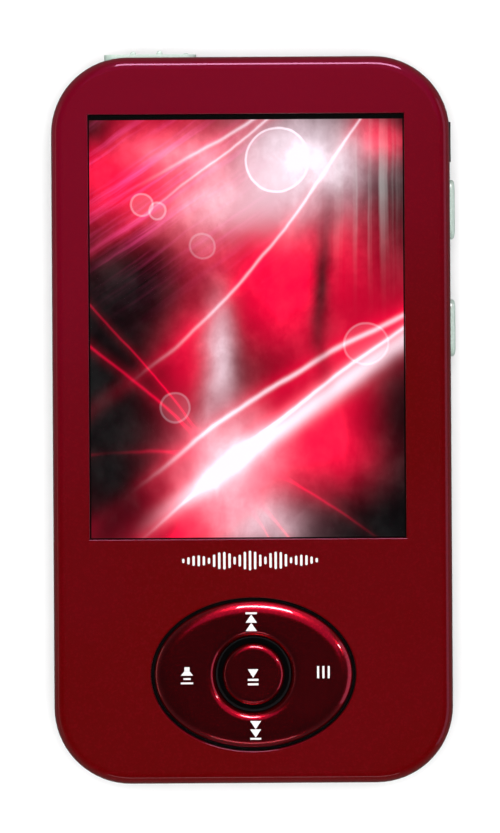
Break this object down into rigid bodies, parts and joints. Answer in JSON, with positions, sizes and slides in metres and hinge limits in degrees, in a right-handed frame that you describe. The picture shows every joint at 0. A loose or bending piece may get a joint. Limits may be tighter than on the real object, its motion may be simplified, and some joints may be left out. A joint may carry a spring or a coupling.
{
  "type": "digital audio player",
  "caption": "Flat pocket audio player with a recessed display, an oval rocker ring with a round button, side keys, a slide switch and sockets.",
  "frame": {"origin": "middle of the flat rear face that the player lies on", "axes": "+Z out of the display, +Y along the case towards the end with the slide switch, +X towards the side with the keys"},
  "size_m": [0.0474, 0.086, 0.0105],
  "materials": {
    "red_shell": "glossy dark red plastic",
    "rear_shell": "satin dark red plastic",
    "ring_plastic": "glossy maroon plastic",
    "button_plastic": "glossy maroon plastic",
    "silver_key": "satin silver paint",
    "silver_track": "satin",
    "window_clear": "clear, polished",
    "adhesive": "black tape",
    "gasket_foam": "foam",
    "pressed_steel": "pressed sheet",
    "guide_clear": "clear moulding",
    "panel_glass": "lit picture under glass",
    "chip_black": "moulded epoxy",
    "flex_amber": "polyimide film",
    "connector_ivory": "moulded",
    "carrier_plastic": "moulded",
    "mat_rubber": "silicone",
    "dome_steel": "stainless",
    "switch_body": "moulded",
    "plunger_white": "moulded",
    "bar_steel": "blackened",
    "screw_steel": "blackened",
    "board_green": "solder mask",
    "jack_plastic": "moulded",
    "contact_brass": "plated",
    "battery_wrap": "laminated foil",
    "tape_white": "tape",
    "lead_red": "insulation",
    "lead_black": "insulation",
    "ceramic": "ceramic",
    "capacitor_yellow": "moulded"
  },
  "bodies": {
    "case": {"front_cover": "red_shell", "rear_cover": "rear_shell", "strap_bar": "bar_steel", "case_screws": "screw_steel", "display_window": "window_clear", "window_adhesive": "adhesive", "display_gasket": "gasket_foam", "display_frame": "pressed_steel", "light_guide": "guide_clear", "display_panel": "panel_glass", "display_driver": "chip_black", "display_flex": "flex_amber", "display_connector": "connector_ivory", "keypad_mat": "mat_rubber", "button_boot": "mat_rubber", "dome_switches": "dome_steel", "side_switches": "switch_body", "switch_track": "silver_track", "slide_switch": "pressed_steel", "main_board": "board_green", "board_screws": "screw_steel", "headphone_jack": "jack_plastic", "jack_contacts": "contact_brass", "usb_shell": "pressed_steel", "usb_tongue": "jack_plastic", "card_base": "jack_plastic", "card_cover": "pressed_steel", "battery_cell": "battery_wrap", "battery_tape": "tape_white", "battery_tabs": "board_green", "positive_lead": "lead_red", "negative_lead": "lead_black", "processor_chip": "chip_black", "memory_chip": "chip_black", "power_chip": "chip_black", "audio_chip": "chip_black", "clock_crystal": "pressed_steel", "power_inductor": "chip_black", "output_capacitors": "capacitor_yellow", "small_capacitors": "ceramic", "microphone": "pressed_steel", "mic_boot": "mat_rubber", "reset_switch": "switch_body"},
    "nav_carrier_body": {"nav_carrier": "carrier_plastic"},
    "nav_ring_body": {"nav_ring": "ring_plastic"},
    "play_button_body": {"play_button": "button_plastic"},
    "power_key_body": {"power_key": "silver_key", "power_plunger": "plunger_white"},
    "back_key_body": {"back_key": "silver_key", "back_plunger": "plunger_white"},
    "slider_body": {"switch_knob": "silver_key", "slide_lever": "plunger_white"},
    "reset_body": {"reset_plunger": "plunger_white"}
  },
  "joints": [
    {"name": "ring_tilt_sideways", "type": "hinge", "parent": "case", "child": "nav_carrier_body", "pos_m": [0, -0.02975, 0.0069], "axis": [0, 1, 0], "range_deg": [-1.5, 1.5], "stiffness_Nm_per_rad": 0.05},
    {"name": "ring_tilt_lengthways", "type": "hinge", "parent": "nav_carrier_body", "child": "nav_ring_body", "pos_m": [0, -0.02975, 0.00755], "axis": [1, 0, 0], "range_deg": [-2, 2], "stiffness_Nm_per_rad": 0.05},
    {"name": "play_button_press", "type": "slide", "parent": "case", "child": "play_button_body", "axis": [0, 0, -1], "range_m": [0, 0.0003], "stiffness_N_per_m": 400, "springref_m": -0.0005, "deforming": ["button_boot"]},
    {"name": "power_key_press", "type": "slide", "parent": "case", "child": "power_key_body", "axis": [-1, 0, 0], "range_m": [0, 0.0003], "stiffness_N_per_m": 400, "springref_m": -0.0005},
    {"name": "back_key_press", "type": "slide", "parent": "case", "child": "back_key_body", "axis": [-1, 0, 0], "range_m": [0, 0.0003], "stiffness_N_per_m": 400, "springref_m": -0.0005},
    {"name": "hold_slide", "type": "slide", "parent": "case", "child": "slider_body", "axis": [-1, 0, 0], "range_m": [0, 0.0022]},
    {"name": "reset_press", "type": "slide", "parent": "case", "child": "reset_body", "axis": [0, 0, 1], "range_m": [0, 0.0002], "stiffness_N_per_m": 400, "springref_m": -0.0005}
  ]
}
